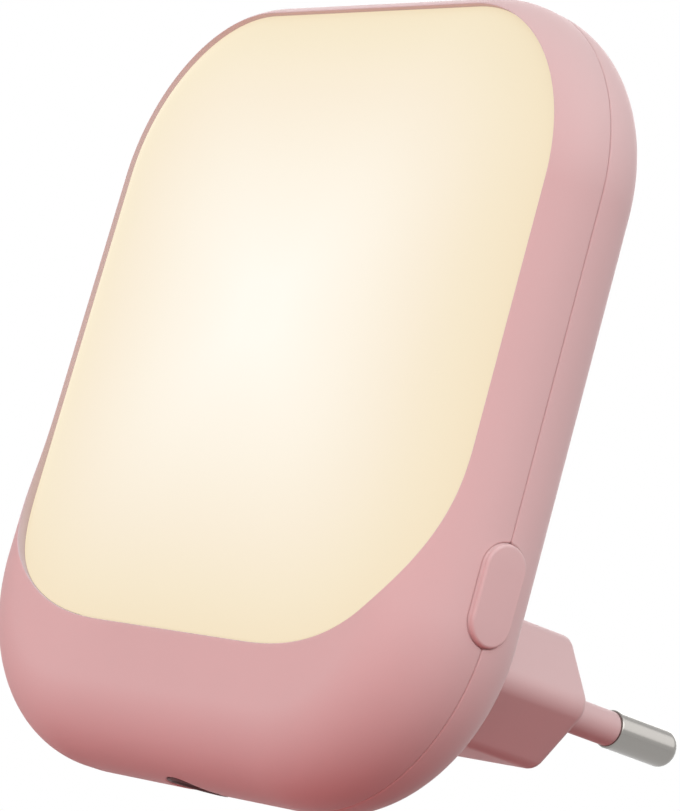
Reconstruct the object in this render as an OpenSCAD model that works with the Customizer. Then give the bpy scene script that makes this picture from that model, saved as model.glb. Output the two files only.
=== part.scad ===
// Plug-in night light: a two-part pebble housing with an opal cover, a side
// push button and a flat two-pin mains plug moulded into the rear shell.
// Millimetres, +Z up, the lamp's front faces -Y. The origin is the centre of
// the plug's end face, between the pins. Most modules work in the body frame,
// whose origin is the middle of the front plane, with +Y as the depth.

/* [Body] */
// Width across the body
body_w = 71; // [66:0.5:80]
// Height of the body
body_h = 79.5; // [76:0.5:92]
// Depth of the body from its front plane to its back
body_d = 16; // [15.5:0.5:20]
// Radius of the four corners, seen from the front
corner_r = 19.2; // [17:0.2:22]
// Rounding from the front into the side walls
front_round = 7.7; // [6:0.1:7.9]
// Rounding from the back into the side walls
rear_round = 7; // [5:0.5:7.5]
// Depth of the seam between the shells, behind the front plane
seam_depth = 8.5; // [8.2:0.1:9.5]
// Thickness of the shell walls
wall = 1.8; // [1.6:0.1:2]
// Width of the shadow groove along the seam
groove_w = 0.5; // [0.3:0.1:0.8]
// Depth of the shadow groove along the seam
groove_d = 0.4; // [0.2:0.1:0.6]
// Reach of the front shell's tongue into the rear shell
tongue_l = 1.4; // [1:0.1:1.8]

/* [Light cover] */
// Rim of shell left round the cover at the sides and the top
rim = 1.8; // [1.8:0.1:2.6]
// Height of the plain chin below the cover
chin = 13.6; // [12.5:0.1:18]
// Radius of the cover's lower corners
cover_low_r = 18.2; // [14:0.2:20]
// Thickness of the cover's front
cover_t = 1.6; // [1.2:0.1:2]
// Rounding of the cover's edges, flatter than the shell's
cover_round = 15.5; // [13:0.5:18]
// How far the cover's flat middle lies below the chin
cover_sink = 0.1; // [0:0.05:0.3]
// Thickness of the cover's skirt
skirt_t = 1.4; // [1:0.1:1.6]
// Width of the ledge that the cover and the board rest on
ledge_w = 2.6; // [2.4:0.1:3.2]
// Thickness of that ledge
ledge_t = 1.6; // [1.4:0.1:2]

/* [Button] */
// Length of the button
button_l = 9.6; // [9:0.2:12]
// Width of the button
button_w = 4.8; // [4.4:0.2:5.4]
// Height of the button's centre above the body's lowest point
button_up = 22.4; // [21:0.2:30]
// How far the button stands out of the side wall
button_proud = 0.5; // [0.4:0.1:1.2]
// Rounding of the button's outer edge
button_edge = 0.5; // [0.4:0.1:1.2]
// Travel of the button
button_travel = 1.2; // [0.8:0.1:1.5]

/* [Plug] */
// Distance from the body's back to the plug's end face
plug_l = 22.7; // [20:0.1:26]
// Width of the plug body over its side edges
plug_w = 36; // [36:0.1:36]
// Width of the plug body's flat top and bottom
plug_flat_w = 26.1; // [26.1:0.1:26.1]
// Height of the plug body
plug_h = 13.7; // [13.7:0.1:13.7]
// Rounding of the plug body's long edges
plug_edge = 2.2; // [1.8:0.2:4]
// Wall of the hollow plug body
plug_wall = 1.6; // [1.4:0.1:2]
// Height of the pins above the body's lowest point
plug_up = 18; // [17:0.1:24]
// Rounding of the edges round the plug's end face
plug_end_edge = 0.8; // [0.4:0.1:1.2]
// Distance between the pins at the plug's end face
pin_pitch = 18.6; // [18.6:0.1:18.6]
// Distance between the pins at their tips
pin_tip_pitch = 17.5; // [17.5:0.1:17.5]
// Length of the pins beyond the end face
pin_l = 19.5; // [19.5:0.5:19.5]
// Diameter of the bare contact length
pin_d = 4; // [4:0.1:4]
// Diameter of the insulating sleeves
sleeve_d = 3.6; // [3.6:0.1:3.6]
// Length of the sleeves beyond the end face
sleeve_l = 10.7; // [10.7:0.1:10.7]

/* [Light sensor] */
// Diameter of the port in the bottom face
port_d = 6.6; // [5:0.2:7]
// Depth of the window above the bottom face
port_depth = 2.7; // [2.4:0.1:3.2]

/* [Board] */
// Thickness of the circuit board
board_t = 1.2; // [1:0.1:1.6]
// Spacing of the diodes across the board
led_dx = 22; // [16:1:26]
// Spacing of the diodes up the board
led_dz = 14; // [12:0.5:15]

/* [Hidden] */
$fn = 96;

// Finishes
rose = "#d4aeae";
opal = "#fbf0d8";
nickel = "#c9c7c2";

// Clearances
fit_gap = 0.05;      // between pieces that locate each other
slide_gap = 0.15;    // round the button in its slot
room_gap = 0.3;      // between pieces that only pass each other
eps = 0.01;          // overrun of a cut through a face

// Body
core_w = body_w - 2 * corner_r;
core_h = body_h - 2 * corner_r;
body_rise = body_h / 2 - plug_up;
body_low = -body_h / 2;
side_in = body_w / 2 - wall;
back_in = body_d - wall;
tongue_t = wall / 2;
bead_l = 7;
bead_r = 0.3;
bead_depth = seam_depth + tongue_l / 2;
rib_t = 1;
rib_h = 1.3;
rib_dx = 14;
rib_low = 10;
rib_l = 22;

// Cover and board, as depths behind the front plane
board_back = seam_depth - 0.1;
board_front = board_back - board_t;
skirt_end = board_front - ledge_t;
pocket_t = 1.4;
board_gap = 0.3;
cover_low = body_low + chin;
cover_mid = (body_h / 2 - rim + cover_low) / 2;
cover_flat = 11.5;
tray_t = 0.8;
tray_rise = 2;
lug_l = 6;
lug_r = 0.5;
lug_depth = skirt_end - 1.1;
lug_dx = 24;

// Button, its flange and the pads that guide it
button_z = body_low + button_up;
flange_rim = 0.9;
flange_t = 1.1;
pad_rim = 1.3;
flange_front = skirt_end + room_gap;
flange_rear = seam_depth + button_w / 2 + flange_rim;
inner_round = rear_round - wall;
curve_start = body_d - rear_round;
curve_in = flange_rear > curve_start
    ? inner_round - sqrt(inner_round ^ 2 - (flange_rear - curve_start) ^ 2)
    : 0;
pad_x = side_in - curve_in - 0.2;
flange_x = pad_x - fit_gap - flange_t;
clear_x = flange_x - button_travel - room_gap;

// Room for parts between the board and the back wall
part_room = back_in - board_back;

// Push switch, with its stem on the button's boss
stem_d = 2.2;
switch_w = 7;
switch_t = part_room - 1.2;
switch_l = 6;
stem_depth = board_back + switch_t / 2;
boss_l = 1;
stem_x = flange_x - boss_l;
switch_x = stem_x - button_travel - 0.9;
stem_in = 3.4;
spring_room = 1.8;
spring_l = button_travel + spring_room;
spring_wire = 0.25;
spring_turns = 4;

// Plug, as depths behind the front plane
plug_end = body_d + plug_l;
end_wall = 3.5;
carrier_t = 4.2;
carrier_face = end_wall + carrier_t;
pin_core_d = 3;
pin_tilt = atan((pin_pitch - pin_tip_pitch) / 2 / pin_l);
pin_tip_r = 1.3;
pin_seat_gap = 0.1;
relief_w = 0.4;
relief_l = 0.6;
pin_flange_d = 5;
pin_flange_t = 1.2;
pin_tail_d = 2.2;
pin_tail_l = 4;
pin_back = -carrier_face - pin_seat_gap - pin_flange_t;

// Light sensor and its window
port_boss_r = port_d / 2 + 1.8;
window_r = port_d / 2 + 0.8;
window_t = 1.2;
window_low = body_low + port_depth;
boss_top = window_low + window_t + 1.2;
sensor_d = 3;
sensor_l = 4.4;
sensor_rest = boss_top + 0.2;
sensor_wire_r = 0.25;
sensor_depth = board_back + sensor_wire_r;
sensor_reach = 4;
sensor_wire_x = 0.9;

// Screws and posts
screw_in = 15.5;
screw_x = body_w / 2 - screw_in;
screw_z = body_low + chin / 2 + 1.5;
screw_r = 1;
screw_l = 5.5;
head_r = 1.9;
head_t = 1.2;
cross_l = 2.2;
cross_w = 0.4;
boss_r = 2.4;
post_in = 13.5;
post_x = body_w / 2 - post_in;
post_z = body_h / 2 - post_in;
post_r = 2;

// Through-hole parts on the board
lead_r = 0.3;
cap_w = 13;
cap_h = 6.5;
cap_l = 12.5;
cap_z = -body_rise;
cap_leads = [for (s = [-1, 1]) [s * 5, cap_z]];
elco_r = (part_room - 0.8) / 2;
elco_l = 11;
elco_x = -20;
elco_z = 5;
elco_crimp = 0.35;
elco_leads = [for (s = [-1, 1]) [elco_x + elco_l + 2.2, elco_z + s * 1]];
fuse_r = 1.4;
fuse_waist = 0.25;
fuse_cap = 1.4;
fuse_l = 7;
fuse_x = 15;
fuse_z = -2;
fuse_leads = [for (s = [-1, 1]) [fuse_x, fuse_z + s * (fuse_l / 2 + 2)]];
switch_leads = [for (s = [-1, 1]) [switch_x - switch_l / 2, button_z + s * 2.2]];
wire_r = 0.7;
wire_bend = 3;
wire_joint = 0.05;
wire_x = cap_w / 2 + 4;
wire_z = cap_z + 5.5;
rectifier = [4.7, 3.8, 2.4];
rectifier_z = -6;
driver = [4.9, 3.9, 1.5];
driver_z = 16;
resistor = [3.2, 0.6, 1.6];
resistor_at = [10, 10];
resistor_dz = 4;
bolt_holes = [for (s = [-1, 1]) [s * screw_x, screw_z]];

// ---------------------------------------------------------------- shapes

// Moves children from the body frame to the part's origin
module in_body() translate([0, -plug_end, body_rise]) children();

// Extrudes an outline drawn in X and Z along the depth
module along_y(from, to)
    translate([0, to, 0]) rotate([90, 0, 0]) linear_extrude(to - from) children();

// Extrudes an outline drawn in Y and Z along X
module along_x(from, to)
    translate([from, 0, 0]) rotate([90, 0, 90]) linear_extrude(to - from) children();

// Turns a profile of radius and height round the depth axis
module turn_y() rotate([-90, 0, 0]) rotate_extrude() children();

// Everything between two depths
module slab(from, to)
    translate([-body_w, from, -body_h]) cube([2 * body_w, to - from, 2 * body_h]);

// Upright outline with its own radii at the top and at the bottom
module upright_outline(w, top, low, top_r, low_r) {
    x = w / 2;
    translate([-x, low + low_r]) square([w, top - top_r - low - low_r]);
    translate([top_r - x, low + low_r]) square([w - 2 * top_r, top - low - low_r]);
    translate([low_r - x, low]) square([w - 2 * low_r, top - top_r - low]);
    for (s = [-1, 1]) {
        translate([s * (x - top_r), top - top_r]) circle(top_r);
        translate([s * (x - low_r), low + low_r]) circle(low_r);
    }
}

// Outline of the cover, grown or shrunk all round
module cover_outline(grow = 0)
    upright_outline(
        body_w - 2 * rim + 2 * grow,
        body_h / 2 - rim + grow, cover_low - grow,
        corner_r - rim + grow, cover_low_r + grow
    );

// Outline of the body, shrunk all round
module body_outline(inset)
    upright_outline(
        body_w - 2 * inset, body_h / 2 - inset, body_low + inset,
        corner_r - inset, corner_r - inset
    );

// Section of the body's edge: reach outwards, depth upwards
module edge_section(reach, depth, front_r, rear_r) {
    polygon([
        [0, 0], [reach - front_r, 0], [reach, front_r],
        [reach, depth - rear_r], [reach - rear_r, depth], [0, depth]
    ]);
    intersection() {
        translate([reach - front_r, front_r]) circle(front_r);
        square([reach, depth]);
    }
    translate([reach - rear_r, depth - rear_r]) circle(rear_r);
}

// Rounded slab behind the front plane, its corners turned round the core
module rounded_slab(reach, depth, front_r, rear_r) {
    module section() edge_section(reach, depth, front_r, rear_r);
    translate([-core_w / 2, 0, -core_h / 2]) cube([core_w, depth, core_h]);
    for (m = [0, 1]) {
        mirror([m, 0, 0]) translate([core_w / 2, 0, -core_h / 2])
            linear_extrude(core_h) section();
        mirror([0, 0, m]) translate([core_w / 2, 0, core_h / 2])
            rotate([0, -90, 0]) linear_extrude(core_w) section();
    }
    for (i = [0:3]) {
        x = (i == 0 || i == 3 ? 1 : -1) * core_w / 2;
        z = (i > 1 ? 1 : -1) * core_h / 2;
        translate([x, 0, z]) rotate([-90, 0, 0]) rotate([0, 0, 90 * i])
            rotate_extrude(angle = 90) section();
    }
}

// The whole body as one rounded pebble, shrunk all round by inset
module pebble(inset = 0)
    translate([0, inset, 0]) rounded_slab(
        corner_r - inset, body_d - 2 * inset,
        front_round - inset, rear_round - inset
    );

// The flatter dome that the cover's face lies on, shrunk by inset
module dome(inset = 0)
    translate([0, cover_sink + inset, 0]) rounded_slab(
        corner_r - cover_flat + cover_round - inset, 2 * body_d,
        cover_round - inset, rear_round
    );

// Ring of the body's wall between two insets and two depths
module wall_ring(outer, inner, from, to)
    difference() {
        intersection() {
            pebble(outer);
            slab(from, to);
        }
        pebble(inner);
    }

// Flat pill outline: width along Y, length along Z
module pill_outline(w, l) {
    square([w, l - w], center = true);
    for (s = [-1, 1]) translate([0, s * (l - w) / 2]) circle(w / 2);
}

// Pill with a rounded upper rim, standing on XY with its length along Y
module pill(w, l, h, edge) {
    module half() {
        polygon([[0, 0], [w / 2, 0], [w / 2, h - edge], [w / 2 - edge, h], [0, h]]);
        translate([w / 2 - edge, h - edge]) circle(edge);
    }
    rotate([90, 0, 0]) linear_extrude(l - w, center = true) {
        half();
        mirror([1, 0]) half();
    }
    for (a = [0, 180])
        rotate([0, 0, a]) translate([0, (l - w) / 2, 0]) rotate_extrude(angle = 180) half();
}

// Outline through corner points, each rounded by a radius
function unit(v) = v / norm(v);
module rounded_outline(points, r) {
    n = len(points);
    arms = [for (i = [0:n - 1]) [
        unit(points[(i + n - 1) % n] - points[i]),
        unit(points[(i + 1) % n] - points[i])
    ]];
    half_angle = [for (a = arms) acos(a[0] * a[1]) / 2];
    polygon([for (i = [0:n - 1], k = [0, 1]) points[i] + arms[i][k] * r / tan(half_angle[i])]);
    for (i = [0:n - 1])
        translate(points[i] + unit(arms[i][0] + arms[i][1]) * r / sin(half_angle[i])) circle(r);
}

// Six-sided section of the plug body, shrunk all round by inset
module plug_outline(inset = 0) {
    h = plug_h / 2 - inset;
    lean = [plug_w / 2 - plug_flat_w / 2, plug_h / 2];
    side = plug_w / 2 - inset * norm(lean) / lean[1];
    flat = side - h * lean[0] / lean[1];
    rounded_outline(
        [[side, 0], [flat, h], [-flat, h], [-side, 0], [-flat, -h], [flat, -h]],
        max(plug_edge - inset, 0.5)
    );
}

// Rounds the edges at the plug's end: a slab with a rounded end lies across
// each pair of opposite sides, and the plug body is what they all share
module plug_end_round() {
    lean = [plug_w / 2 - plug_flat_w / 2, plug_h / 2];
    tilt = atan(lean[0] / lean[1]);
    halves = [[plug_h / 2, 90], [plug_w / 2 * cos(tilt), tilt], [plug_w / 2 * cos(tilt), -tilt]];
    translate([0, 0, -body_rise]) intersection_for(h = halves)
        rotate([0, -h[1], 0]) translate([0, 0, -plug_w]) linear_extrude(2 * plug_w) {
            x = h[0] - plug_end_edge;
            translate([-h[0], 0]) square([2 * h[0], plug_end - plug_end_edge]);
            translate([-x, 0]) square([2 * x, plug_end]);
            for (s = [-1, 1]) translate([s * x, plug_end - plug_end_edge]) circle(plug_end_edge);
        }
}

// Lowers an outline from the body's centre to the plug's
module at_plug() translate([0, -body_rise]) children();

// Places children on a pin's own axis, side -1 left or 1 right
module on_pin(side)
    translate([side * pin_pitch / 2, 0, 0]) rotate([0, 0, side * pin_tilt]) children();

// Round wire through points, with ball joints at its bends
module wire(points, r) {
    for (i = [0:len(points) - 2]) {
        a = points[i];
        v = points[i + 1] - a;
        translate(a) rotate([0, acos(v[2] / norm(v)), atan2(v[1], v[0])]) cylinder(norm(v), r, r);
    }
    for (i = [1:len(points) - 2]) translate(points[i]) sphere(r + wire_joint);
}

// Leads through the board at the given places, from its front to a depth
module board_leads(places, to)
    for (p = places) translate([p[0], board_front, p[1]])
        rotate([-90, 0, 0]) cylinder(to - board_front, lead_r, lead_r);

// ---------------------------------------------------------------- housing

// The slot for the button, right through the side wall
module button_slot(gap = slide_gap)
    along_x(clear_x, body_w) translate([seam_depth, button_z])
        pill_outline(button_w + 2 * gap, button_l + 2 * gap);

// The thickened wall that guides the button
module button_pad()
    intersection() {
        along_x(pad_x, body_w) translate([seam_depth, button_z])
            pill_outline(button_w + 2 * pad_rim, button_l + 2 * pad_rim);
        pebble(wall / 2);
    }

// Outline of the button's flange, cut flat towards the cover
module flange_outline(grow = 0)
    intersection() {
        translate([seam_depth, button_z])
            pill_outline(button_w + 2 * (flange_rim + grow), button_l + 2 * (flange_rim + grow));
        translate([flange_front - grow, button_z - button_l])
            square([2 * button_w, 2 * button_l]);
    }

// The room that the flange sweeps inside the pads
module flange_room() along_x(clear_x, pad_x) flange_outline(room_gap - eps);

// The tube round the sensor port
module port_boss()
    intersection() {
        translate([0, seam_depth, body_low]) cylinder(boss_top - body_low, port_boss_r, port_boss_r);
        pebble(wall / 2);
    }

// The port and the groove that holds its window
module port_cut() {
    translate([0, seam_depth, body_low - 1])
        cylinder(boss_top - body_low + 1 + eps, port_d / 2, port_d / 2);
    translate([0, seam_depth, window_low - fit_gap])
        cylinder(window_t + 2 * fit_gap, window_r + fit_gap, window_r + fit_gap);
}

// The shadow groove at the seam, on the outside of both shells
module seam_groove()
    wall_ring(-1, groove_d, seam_depth - groove_w / 2, seam_depth + groove_w / 2);

// Round beads on the tongue that snap into the rear shell
module tongue_beads(r) {
    x = body_w / 2 - tongue_t - fit_gap;
    z = body_h / 2 - tongue_t - fit_gap;
    for (m = [0, 1]) {
        mirror([m, 0, 0]) translate([x, bead_depth, core_h / 4]) cylinder(bead_l, r, r, center = true);
        mirror([0, 0, m]) for (s = [-1, 1]) translate([s * core_w / 3, bead_depth, z])
            rotate([0, 90, 0]) cylinder(bead_l, r, r, center = true);
    }
}

// Round lugs on the cover's skirt that snap into the front shell
module cover_lugs(r) {
    x = body_w / 2 - rim - fit_gap;
    z = body_h / 2 - rim - fit_gap;
    for (s = [-1, 1]) {
        for (lug_z = [cover_low + cover_low_r + lug_l, core_h / 2 - lug_l])
            translate([s * x, lug_depth, lug_z]) cylinder(lug_l, r, r, center = true);
        translate([s * lug_dx / 2, lug_depth, z])
            rotate([0, 90, 0]) cylinder(lug_l, r, r, center = true);
    }
}

module front_shell()
    color(rose) in_body() difference() {
        union() {
            wall_ring(0, wall, -1, seam_depth);
            wall_ring(tongue_t + fit_gap, wall, board_front, seam_depth + tongue_l);
            difference() {
                tongue_beads(bead_r);
                pebble(wall);
            }
            intersection() {
                pebble(wall / 2);
                along_y(0, board_front) cover_outline(pocket_t);
            }
            for (b = bolt_holes) translate([b[0], wall / 2, b[1]])
                rotate([-90, 0, 0]) cylinder(board_front - wall / 2, boss_r, boss_r);
            intersection() {
                union() {
                    button_pad();
                    port_boss();
                }
                slab(0, seam_depth);
            }
        }
        along_y(-1, skirt_end) cover_outline();
        along_y(skirt_end - 1, board_front + 1) cover_outline(-ledge_w);
        cover_lugs(lug_r + fit_gap);
        for (b = bolt_holes) translate([b[0], board_front - screw_l, b[1]])
            rotate([-90, 0, 0]) cylinder(screw_l + 1, screw_r, screw_r);
        button_slot();
        flange_room();
        port_cut();
        seam_groove();
    }

module diffuser()
    color(opal) in_body() difference() {
        union() {
            intersection() {
                dome();
                along_y(-1, skirt_end) cover_outline(-fit_gap);
            }
            cover_lugs(lug_r);
        }
        intersection() {
            dome(cover_t);
            along_y(0, skirt_end + 1) cover_outline(-fit_gap - skirt_t);
        }
        button_slot(room_gap);
    }

module rear_shell()
    color(rose) in_body() difference() {
        union() {
            wall_ring(0, wall, seam_depth, body_d + 1);
            intersection() {
                along_y(back_in, plug_end) at_plug() plug_outline();
                plug_end_round();
            }
            for (i = [-1:1]) translate([i * rib_dx - rib_t / 2, back_in - rib_h, rib_low])
                cube([rib_t, rib_h + wall / 2, rib_l]);
            for (s = [-1, 1]) translate([s * post_x, board_back, post_z])
                rotate([-90, 0, 0]) cylinder(back_in + wall / 2 - board_back, post_r, post_r);
            intersection() {
                union() {
                    button_pad();
                    port_boss();
                }
                slab(seam_depth, body_d);
            }
        }
        along_y(seam_depth, plug_end - end_wall) at_plug() plug_outline(plug_wall);
        wall_ring(tongue_t, wall + fit_gap, seam_depth - 1, seam_depth + tongue_l + fit_gap);
        tongue_beads(bead_r + fit_gap);
        translate([0, plug_end, -body_rise]) for (s = [-1, 1]) on_pin(s)
            rotate([90, 0, 0]) translate([0, 0, -1]) {
                cylinder(end_wall + 2, sleeve_d / 2, sleeve_d / 2);
                cylinder(relief_l + 1, sleeve_d / 2 + relief_w, sleeve_d / 2 + relief_w);
            }
        button_slot();
        flange_room();
        port_cut();
        seam_groove();
    }

module side_button()
    color(rose) in_body() {
        translate([flange_x + flange_t / 2, seam_depth, button_z]) rotate([90, 0, 90])
            pill(button_w, button_l, body_w / 2 + button_proud - flange_x - flange_t / 2, button_edge);
        along_x(flange_x, flange_x + flange_t) flange_outline();
        along_x(stem_x, flange_x + flange_t / 2) translate([stem_depth, button_z])
            circle(stem_d / 2 + 0.4);
    }

module sensor_window()
    color("#4a2a2c") in_body() translate([0, seam_depth, window_low])
        cylinder(window_t, window_r, window_r);

// ------------------------------------------------------------------- plug

module pin_carrier()
    color("#efe6dc") difference() {
        along_y(-carrier_face, -end_wall) plug_outline(plug_wall + fit_gap);
        for (s = [-1, 1]) on_pin(s) translate([0, -carrier_face - 1, 0])
            rotate([-90, 0, 0]) cylinder(carrier_t + 2, pin_core_d / 2, pin_core_d / 2);
    }

module pin(side)
    color(nickel) on_pin(side) turn_y() {
        polygon([
            [0, pin_back - pin_tail_l],
            [pin_tail_d / 2, pin_back - pin_tail_l],
            [pin_tail_d / 2, pin_back],
            [pin_flange_d / 2, pin_back],
            [pin_flange_d / 2, pin_back + pin_flange_t],
            [pin_core_d / 2, pin_back + pin_flange_t],
            [pin_core_d / 2, sleeve_l],
            [pin_d / 2, sleeve_l],
            [pin_d / 2, pin_l - pin_tip_r],
            [pin_d / 2 - pin_tip_r, pin_l],
            [0, pin_l]
        ]);
        intersection() {
            translate([pin_d / 2 - pin_tip_r, pin_l - pin_tip_r]) circle(pin_tip_r);
            square([pin_d, pin_l]);
        }
    }

module sleeve(side)
    color(rose) on_pin(side) turn_y() difference() {
        translate([0, pin_seat_gap - end_wall])
            square([sleeve_d / 2, end_wall + sleeve_l - pin_seat_gap]);
        translate([0, -end_wall - 1]) square([pin_core_d / 2, end_wall + sleeve_l + 2]);
    }

module pin_left() pin(-1);
module pin_right() pin(1);
module sleeve_left() sleeve(-1);
module sleeve_right() sleeve(1);

// Insulated lead from a pin's tail to its pad on the board
module lead(side) {
    tail = plug_end + pin_back - pin_tail_l - pin_seat_gap;
    tail_x = pin_pitch / 2 + (plug_end - tail) * sin(pin_tilt);
    in_body() wire([
        [side * tail_x, tail, -body_rise],
        [side * tail_x, tail - wire_bend, -body_rise],
        [side * wire_x, board_back + wire_bend, wire_z],
        [side * wire_x, board_back, wire_z]
    ], wire_r);
}
module live_lead() color("saddlebrown") lead(1);
module neutral_lead() color("steelblue") lead(-1);

// ------------------------------------------------------------------ board

module circuit_board()
    color("#3f7a4e") in_body() difference() {
        along_y(board_front, board_back) difference() {
            body_outline(wall + board_gap);
            translate([clear_x, button_z - button_l / 2 - pad_rim - room_gap])
                square([body_w, button_l + 2 * (pad_rim + room_gap)]);
            translate([-port_boss_r - room_gap, body_low])
                square([2 * (port_boss_r + room_gap), sensor_rest + sensor_l - body_low]);
        }
        for (p = concat(cap_leads, elco_leads, fuse_leads, switch_leads))
            translate([p[0], board_front - 1, p[1]])
                rotate([-90, 0, 0]) cylinder(board_t + 2, lead_r, lead_r);
        for (b = bolt_holes) translate([b[0], board_front - 1, b[1]])
            rotate([-90, 0, 0]) cylinder(board_t + 2, screw_r + 0.2, screw_r + 0.2);
    }

// Middle of each diode, as [x, z]
led_places = [for (x = [-led_dx / 2, led_dx / 2], i = [0:3]) [x, cover_mid + (i - 1.5) * led_dz]];
led_w = 3.5;
led_h = 2.8;
led_t = 0.7;

module reflector_tray()
    color("white") in_body() difference() {
        along_y(board_front - tray_t - tray_rise, board_front) cover_outline(-ledge_w - room_gap);
        along_y(0, board_front - tray_t) cover_outline(-ledge_w - room_gap - tray_t);
        for (p = led_places) translate([p[0], board_front, p[1]])
            cube([led_w + 0.6, 3, led_h + 0.6], center = true);
    }

module leds()
    color("#fff3c4") in_body() for (p = led_places)
        translate([p[0] - led_w / 2, board_front - led_t, p[1] - led_h / 2])
            cube([led_w, led_t, led_h]);

module dropper_capacitor()
    color("goldenrod") in_body() {
        translate([-cap_w / 2, board_back, cap_z - cap_h / 2]) cube([cap_w, cap_l, cap_h]);
        board_leads(cap_leads, board_back + 1);
    }

module smoothing_capacitor()
    color("#26313f") in_body() {
        y = board_back + elco_r;
        translate([elco_x, y, elco_z]) rotate([0, 90, 0]) rotate_extrude() polygon([
            [0, 0], [elco_r, 0], [elco_r, elco_l - 3], [elco_r - elco_crimp, elco_l - 2.4],
            [elco_r, elco_l - 1.8], [elco_r, elco_l], [0, elco_l]
        ]);
        for (p = elco_leads) wire([
            [elco_x + elco_l - 1, y, p[1]], [p[0], y, p[1]], [p[0], board_front, p[1]]
        ], lead_r);
    }

module fusible_resistor()
    color("#8fae7d") in_body() {
        y = board_back + fuse_r;
        translate([fuse_x, y, fuse_z]) rotate_extrude() polygon([
            [0, -fuse_l / 2], [fuse_r, -fuse_l / 2], [fuse_r, fuse_cap - fuse_l / 2],
            [fuse_r - fuse_waist, fuse_cap + fuse_waist - fuse_l / 2],
            [fuse_r - fuse_waist, fuse_l / 2 - fuse_cap - fuse_waist],
            [fuse_r, fuse_l / 2 - fuse_cap], [fuse_r, fuse_l / 2], [0, fuse_l / 2]
        ]);
        for (p = fuse_leads) wire([
            [fuse_x, y, fuse_z], [fuse_x, y, p[1]], [fuse_x, board_front, p[1]]
        ], lead_r);
    }

// Flat package with legs along its two long sides, standing off the board
module chip(size, legs, pitch) {
    stand_off = 0.1;
    leg_w = 0.4;
    foot_l = 1;
    foot_t = 0.2;
    translate([-size[0] / 2, stand_off, -size[1] / 2]) cube([size[0], size[2], size[1]]);
    for (s = [0, 1], i = [0:legs - 1]) mirror([0, 0, s])
        translate([(i - (legs - 1) / 2) * pitch - leg_w / 2, 0, size[1] / 2 - foot_t]) {
            cube([leg_w, foot_t, foot_l + foot_t]);
            cube([leg_w, size[2] / 2, 2 * foot_t]);
        }
}

module bridge_rectifier()
    color("#2a2a2c") in_body() translate([0, board_back, rectifier_z]) chip(rectifier, 2, 2.5);

module driver_chip()
    color("#2a2a2c") in_body() translate([0, board_back, driver_z]) chip(driver, 4, 1.27);

module chip_resistors()
    color("#1d1d1f") in_body() for (i = [0:3])
        translate([resistor_at[0], board_back, resistor_at[1] + resistor_dz * i]) cube(resistor);

// ----------------------------------------------------------------- switch

// Round bore of the switch for its stem and spring
module switch_bore(gap)
    along_x(stem_x - stem_in - spring_l, switch_x + 1)
        translate([stem_depth, button_z]) circle(stem_d / 2 + gap);

module push_switch()
    color("#303236") in_body() {
        difference() {
            translate([switch_x - switch_l - 0.6, board_back, button_z - switch_w / 2])
                cube([switch_l + 0.6, switch_t, switch_w]);
            switch_bore(fit_gap);
        }
        board_leads(switch_leads, board_back + 1);
    }

module switch_plunger()
    color("#f2f0ea") in_body() along_x(stem_x - stem_in, stem_x)
        translate([stem_depth, button_z]) circle(stem_d / 2);

// Wound wire of round section, its axis along X
module switch_spring()
    color(nickel) in_body() translate([stem_x - stem_in - spring_l, stem_depth, button_z]) {
        r = stem_d / 2 - spring_wire / 2 - fit_gap;
        steps = 20;
        sides = 8;
        n = spring_turns * steps;
        rise = (spring_l - spring_wire) / n;
        rings = [for (i = [0:n], j = [0:sides - 1]) let (
            a = 360 * i / steps, b = 360 * j / sides, q = r + spring_wire / 2 * cos(b)
        ) [spring_wire / 2 + rise * i + spring_wire / 2 * sin(b), q * cos(a), q * sin(a)]];
        skin = [for (i = [0:n - 1], j = [0:sides - 1]) let (k = (j + 1) % sides)
            [i * sides + j, i * sides + k, (i + 1) * sides + k, (i + 1) * sides + j]];
        caps = [
            [for (j = [sides - 1:-1:0]) j],
            [for (j = [0:sides - 1]) n * sides + j]
        ];
        polyhedron(rings, concat(skin, caps));
    }

module light_sensor()
    color("#3a3a40") in_body() {
        translate([0, sensor_depth, sensor_rest + sensor_d / 2]) {
            sphere(sensor_d / 2);
            cylinder(sensor_l - sensor_d / 2, sensor_d / 2, sensor_d / 2);
        }
        for (s = [-1, 1])
            translate([s * sensor_wire_x, sensor_depth, sensor_rest + sensor_l - 1])
                cylinder(sensor_reach + 1, sensor_wire_r, sensor_wire_r);
    }

module board_screws()
    color(nickel) in_body() for (b = bolt_holes) translate([b[0], 0, b[1]]) {
        difference() {
            turn_y() {
                translate([0, board_back]) square([head_r, head_t]);
                translate([0, board_front - screw_l + 0.3]) square([screw_r, screw_l + board_t]);
            }
            for (a = [0, 90]) rotate([0, a, 0]) translate([0, board_back + head_t, 0])
                cube([cross_l, head_t, cross_w], center = true);
        }
    }

front_shell();
diffuser();
rear_shell();
side_button();
sensor_window();
pin_carrier();
pin_left();
pin_right();
sleeve_left();
sleeve_right();
circuit_board();
reflector_tray();
leds();
dropper_capacitor();
smoothing_capacitor();
bridge_rectifier();
fusible_resistor();
chip_resistors();
driver_chip();
push_switch();
switch_plunger();
switch_spring();
light_sensor();
board_screws();
live_lead();
neutral_lead();
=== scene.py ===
"""Plug-in night light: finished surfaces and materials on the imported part.

Shapes are worked out in millimetres in the body's own frame: x to the right, t the depth
behind the front plane, z up from the body's centre. to_row() takes them to the row's frame.
"""

import math

import bmesh
import bpy
import numpy as np
from mathutils import Matrix, Vector
from mathutils.geometry import tessellate_polygon


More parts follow.
